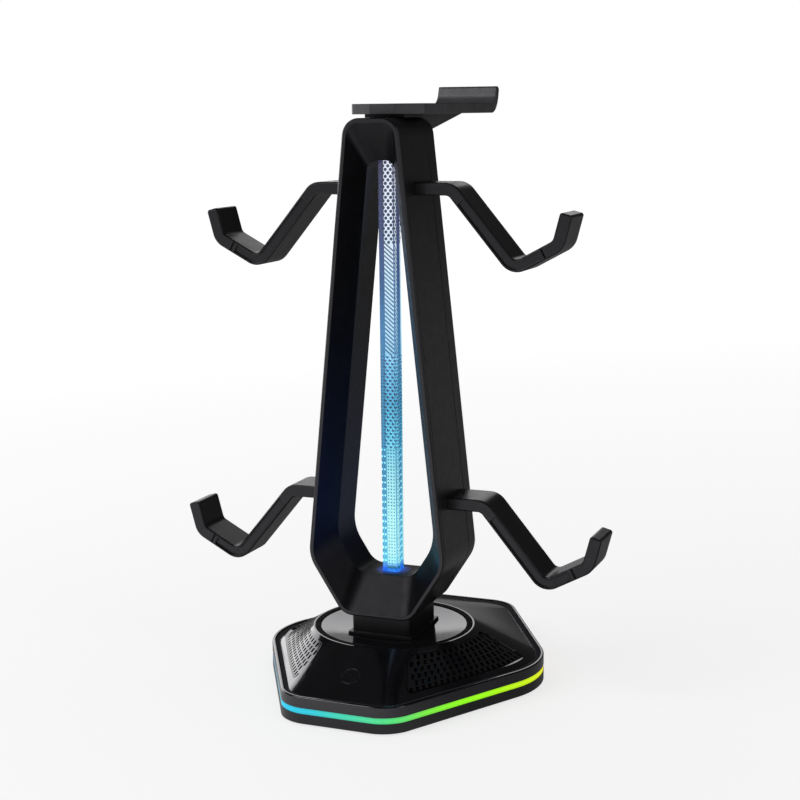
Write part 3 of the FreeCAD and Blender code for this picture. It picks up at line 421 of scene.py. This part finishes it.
surfaces = {
    "mat": plastic("silicone", (0.010, 0.010, 0.010), 0.8, grain=2200.0, depth=0.00004, level=0.3),
    "tray": plastic("tray_plastic", (0.014, 0.0135, 0.015), 0.36, level=0.6),
    "steel": metal("zinc", (0.45, 0.46, 0.47), 0.35, grain=1200.0),
    "diffuser": light_line(),
    "cover": cover_plastic(),
    "grille": grille_plastic(),
    "trim": plastic("satin_trim", (0.004, 0.004, 0.0045), 0.34, grain=2600.0),
    "board": circuit("solder_mask"),
    "header": plastic("nylon", srgb(224, 220, 205), 0.5, grain=2000.0, depth=0.00003),
    "socket": metal("drawn_steel", (0.62, 0.62, 0.63), 0.28, grain=1600.0),
    "lamp": plastic("phosphor", srgb(240, 236, 200), 0.4),
    "lead": plastic("lead_sleeve", srgb(35, 35, 37), 0.6, grain=2500.0, depth=0.00003),
    "tower": tower_plastic(),
    "acrylic": acrylic(),
    "hook": plastic("hook_plastic", (0.006, 0.006, 0.0068), 0.33, level=0.45, round_edge=0.0006),
    "rest": plastic("rest_plastic", (0.044, 0.043, 0.047), 0.38, level=0.7, round_edge=0.0006),
    "screw": metal("black_zinc", (0.16, 0.16, 0.17), 0.35, grain=1500.0),
}
for entry in frame["record"]["subparts"]:
    mesh = nodes[entry["node"]].data
    mesh.materials.clear()
    mesh.materials.append(surfaces[entry["material_slot"]].material)

# The ring round the dish is duller than the other trim
dull_trim = plastic("dull_trim", (0.003, 0.003, 0.0035), 0.85, grain=2600.0, level=0.1)
nodes["ring_trim"].data.materials[0] = dull_trim.material


# Bubbles in the light column: a sheet of fine bubbles across it and one behind, with larger dark ones

# Ends of the rod that the sill and the head of the tower hide
ROD_SUNK = 0.0032
ROD_HELD = 0.0045
SILL_TOP = rod_low.z + ROD_SUNK
CEILING = rod_high.z - ROD_HELD

SHEET_GAP = 0.00002
SHEET_HALF = rod_high.x - SHEET_GAP
SHEET_THICK = 0.0002
SHEET_SPARE = 0.002
LIT_HALF = 0.0022

# Heights that bound the fine bubbles and the slanting stripes
FINEST_TOP = 0.085
FINE_TOP = 0.112
STRIPES_FOOT = 0.156
STRIPES_TOP = 0.206

STRIPE_STEP = 0.00195
STRIPE_LEAN = 40
STRIPE_SIZE = (0.00572, 0.0003, 0.0006)

# Rows of bubbles: their places across the rod, and the radii of the dark ones above each height
FIRST_ROW_GAP = 0.003
LAST_ROW_GAP = 0.0006
ROW_STEP = 0.00155
FINE_ROW = (-0.0014, 0.0, 0.0014)
STAGGERED_ROWS = ((-0.0024, 0.0, 0.0024), (-0.00125, 0.00125))
RADII = ((STRIPES_TOP, 0.00078), (FINE_TOP, 0.00074), (FINEST_TOP, 0.0004), (0.0, 0.00032))
BORDER_ROW = (-0.0031, 0.0031)
BORDER_RADIUS = 0.00038
FOOT_ROW = (-0.0018, -0.0006, 0.0006, 0.0018)
FOOT_RISE = 0.0014
FOOT_RADIUS = 0.00075

# Glints are painted highlights: small bright bubbles that glow more strongly, beside the dark ones and along
# the borders
GLINT_RADIUS = 0.0003
GLINT_ACROSS = 0.00035
GLINT_RISE = 0.00055
GLINT_PROUD = 0.0003
BORDER_GLINT_RADIUS = 0.0004
GLINT_STRENGTH = 1.6

# Bubbles are flattened, and the sheet behind has none further forward than this
BUBBLE_FLAT = 0.45
BEHIND_START = -0.001
QUARTERS = [Matrix.Rotation(math.radians(90 * turn), 4, "Z") for turn in range(4)]


def add_piece(name, build, finishes):
    """Make a piece from a bmesh and its surfaces, and hang it on the body.

    Bubbles are made of triangles and shade smoothly, and the other shapes stay flat.
    """
    for face in build.faces:
        face.smooth = len(face.verts) == 3
    mesh = bpy.data.meshes.new(name)
    build.to_mesh(mesh)
    build.free()
    for surface in finishes:
        mesh.materials.append(surface.material)
    piece = bpy.data.objects.new(name, mesh)
    bpy.context.scene.collection.objects.link(piece)
    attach(piece, "root")


def sheets():
    """Each sheet is bright in the middle and darker along its borders, as painted shade for the dark bands
    along the rod's sides.
    """
    build = bmesh.new()
    middle = (SILL_TOP + CEILING) / 2
    tall = CEILING - SILL_TOP + SHEET_SPARE
    border = (SHEET_HALF - LIT_HALF) / 2
    side = LIT_HALF + border
    bright = 0
    darker = 1
    cross_strips = ((0.0, LIT_HALF, bright), (-side, border, darker), (side, border, darker))
    rear_strips = ((LIT_HALF / 2, LIT_HALF / 2, bright), (side, border, darker))
    for turn, strips in ((QUARTERS[0], cross_strips), (QUARTERS[1], rear_strips)):
        for across, half, index in strips:
            size = Matrix.Diagonal((2 * half, SHEET_THICK, tall, 1))
            place = turn @ Matrix.Translation((across, 0, middle)) @ size
            corners = bmesh.ops.create_cube(build, size=1.0, matrix=place)["verts"]
            for face in {face for corner in corners for face in corner.link_faces}:
                face.material_index = index
    add_piece("column_sheets", build, [lit("lattice", LATTICE), lit("lattice_border", EDGE)])


def unit_ball():
    """Corners and faces of a ball of radius 1, for the bubbles to copy."""
    build = bmesh.new()
    bmesh.ops.create_icosphere(build, subdivisions=2, radius=1.0)
    build.verts.index_update()
    points = [corner.co.copy() for corner in build.verts]
    faces = [[corner.index for corner in face.verts] for face in build.faces]
    build.free()
    return points, faces


BALL_POINTS, BALL_FACES = unit_ball()


def bubble(build, across, z, radius, proud=0.0):
    """Add a bubble on both faces of the two sheets, at a place across them and a height."""
    size = Matrix.Diagonal((radius, BUBBLE_FLAT * radius, radius, 1))
    for turn in QUARTERS:
        place = turn @ Matrix.Translation((across, -SHEET_THICK / 2 - proud, z)) @ size
        if place.translation.y < BEHIND_START:
            continue
        corners = [build.verts.new(place @ point) for point in BALL_POINTS]
        for face in BALL_FACES:
            build.faces.new([corners[index] for index in face])


def stripe(build, z):
    """Add a slanting stripe on the front and the back of the sheet across."""
    lean = Matrix.Rotation(math.radians(STRIPE_LEAN), 4, "Y")
    place = Matrix.Translation((0, -SHEET_THICK, z)) @ lean @ Matrix.Diagonal((*STRIPE_SIZE, 1))
    for turn in QUARTERS[::2]:
        bmesh.ops.create_cube(build, size=1.0, matrix=turn @ place)


def bubble_row(dark, glints, z, row):
    """Add a row: staggered, but straight where the bubbles are fine, with small ones along the borders."""
    fine = z < FINE_TOP
    radius = next(radius for height, radius in RADII if z > height)
    for across in FINE_ROW if fine else STAGGERED_ROWS[row % 2]:
        bubble(dark, across, z, radius)
        # Painted glints beside the bubbles in the middle stretch
        if FINE_TOP < z < STRIPES_FOOT:
            bubble(glints, across + GLINT_ACROSS, z + GLINT_RISE, GLINT_RADIUS, GLINT_PROUD)
    for across in BORDER_ROW:
        if fine and row % 2:
            bubble(glints, across, z, BORDER_GLINT_RADIUS)
        else:
            bubble(dark, across, z, BORDER_RADIUS)


def bubbles():
    dark = bmesh.new()
    glints = bmesh.new()
    for across in FOOT_ROW:
        bubble(dark, across, SILL_TOP + FOOT_RISE, FOOT_RADIUS)
    z = SILL_TOP + FIRST_ROW_GAP
    row = 0
    while z < CEILING - LAST_ROW_GAP:
        if STRIPES_FOOT < z < STRIPES_TOP:
            stripe(dark, z)
            z += STRIPE_STEP
        else:
            bubble_row(dark, glints, z, row)
            z += ROW_STEP
        row += 1
    add_piece("column_bubbles", dark, [lit("bubble_dark", HOLE)])
    # The glints are painted highlights on the bubbles
    add_piece("column_glints", glints, [lit("bubble_glint", LATTICE, GLINT_STRENGTH)])


sheets()
bubbles()


# Stage: pale floor, white surroundings, soft lamps and the camera

SEEN_RAYS = ("Is Camera Ray", "Is Transmission Ray")
GLOSS_RAYS = ("Is Glossy Ray",)
FLOOR_SIZE = 14.0
SHADOW_GREY = (0.26, 0.26, 0.26, 1)
# White of the floor by distance from the part, which the shadow's grey adds to
FLOOR_REACH = (0.15, 2.2)
FLOOR_WHITE = (0.74, 0.92)
# The floor in gloss grows paler this way, over this distance
FLOOR_WAY = (-0.45, -0.9, 0.0)
FLOOR_WAY_SPAN = (0.0, 0.16)
FLOOR_IN_GLOSS = (0.18, 1.0)
# The surroundings in gloss are pale this way
GLOW_WAY = (-0.77, 0.62, -0.15)
GLOW_SPAN = (0.68, 1.04)
GLOW_IN_GLOSS = (0.04, 1.0)
FILL_LIGHT = 0.4


def floor_surface():
    """White with the part's shadow to the camera; in gloss, dim but for what lies in front."""
    surface = Surface("floor_white")
    surface.dress({
        "Base Color": surface.mottle((0.60, 0.60, 0.60), (0.62, 0.62, 0.62), scale=3.0),
        "Roughness": 0.9,
        "Specular IOR Level": 0.0,
    })
    ahead = surface.spread(surface.along(surface.place, FLOOR_WAY), FLOOR_WAY_SPAN, FLOOR_IN_GLOSS)
    dim = surface.add("ShaderNodeEmission", {"Strength": ahead})
    unseen = surface.mix(surface.rays(*GLOSS_RAYS), surface.shader.outputs["BSDF"], dim.outputs["Emission"])
    reach = surface.add("ShaderNodeVectorMath", {0: surface.place}, operation="LENGTH").outputs["Value"]
    white = surface.add("ShaderNodeEmission", {"Strength": surface.spread(reach, FLOOR_REACH, FLOOR_WHITE)})
    shadow = surface.add("ShaderNodeBsdfDiffuse", {"Color": SHADOW_GREY})
    seen = surface.add("ShaderNodeAddShader", {0: shadow.outputs["BSDF"], 1: white.outputs["Emission"]})
    shown = surface.mix(surface.rays(*SEEN_RAYS), unseen, seen.outputs["Shader"])
    surface.fill(surface.tree.nodes["Material Output"], {"Surface": shown})
    return surface


def floor():
    build = bmesh.new()
    bmesh.ops.create_grid(build, x_segments=8, y_segments=8, size=FLOOR_SIZE)
    mesh = bpy.data.meshes.new("floor")
    build.to_mesh(mesh)
    build.free()
    mesh.materials.append(floor_surface().material)
    piece = bpy.data.objects.new("floor", mesh)
    bpy.context.scene.collection.objects.link(piece)


def surroundings():
    """White to the camera; in gloss, dark but for a pale glow behind on the left."""
    world = bpy.data.worlds.new("surroundings")
    bpy.context.scene.world = world
    graph = Graph(world, "Generated")

    def background(strength):
        inputs = {"Color": (1, 1, 1, 1), "Strength": strength}
        return graph.add("ShaderNodeBackground", inputs).outputs["Background"]

    glow = graph.spread(graph.along(graph.place, GLOW_WAY), GLOW_SPAN, GLOW_IN_GLOSS, "SMOOTHSTEP")
    unseen = graph.mix(graph.rays(*GLOSS_RAYS), background(FILL_LIGHT), background(glow))
    shown = graph.mix(graph.rays(*SEEN_RAYS), unseen, background(1.0))
    graph.fill(graph.tree.nodes["World Output"], {"Surface": shown})


def lamp(name, place, target, size, power):
    data = bpy.data.lights.new(name, "AREA")
    data.shape = "RECTANGLE"
    data.size, data.size_y = size
    data.energy = power
    piece = bpy.data.objects.new(name, data)
    piece.location = place
    piece.rotation_euler = (Vector(target) - Vector(place)).to_track_quat("-Z", "Y").to_euler()
    bpy.context.scene.collection.objects.link(piece)


# Camera at the photo's viewing angle
CAMERA_PLACE = (0.27785, -0.67483, 0.26503)
CAMERA_FORWARD = (-0.36995, 0.91225, -0.17587)
CAMERA_RIGHT = (0.92733, 0.37410, -0.01023)
SENSOR_WIDTH = 36.0
LENS = 72.634
CLIP_START = 0.01


def camera():
    data = bpy.data.cameras.new("camera")
    data.sensor_width = SENSOR_WIDTH
    data.lens = LENS
    data.clip_start = CLIP_START
    piece = bpy.data.objects.new("camera", data)
    forward = Vector(CAMERA_FORWARD).normalized()
    up = Vector(CAMERA_RIGHT).cross(forward).normalized()
    right = forward.cross(up)
    turn = Matrix((right, up, -forward)).transposed().to_4x4()
    piece.matrix_world = Matrix.Translation(CAMERA_PLACE) @ turn
    bpy.context.scene.collection.objects.link(piece)
    bpy.context.scene.camera = piece


floor()
surroundings()
lamp("top_left", place=(-0.8, -0.8, 1.1), target=(0, 0, 0.12), size=(0.9, 0.9), power=8.0)
lamp("right", place=(1.1, -0.3, 0.6), target=(0, 0, 0.12), size=(0.4, 0.9), power=1.2)
lamp("panel_left", place=(-1.82, 1.05, 0.52), target=(0, 0, 0.05), size=(1.9, 1.1), power=10.0)
lamp("panel_back", place=(-0.75, 1.85, 0.85), target=(0, 0, 0.05), size=(1.3, 0.6), power=3.5)
camera()
bpy.context.scene.view_settings.view_transform = "Standard"
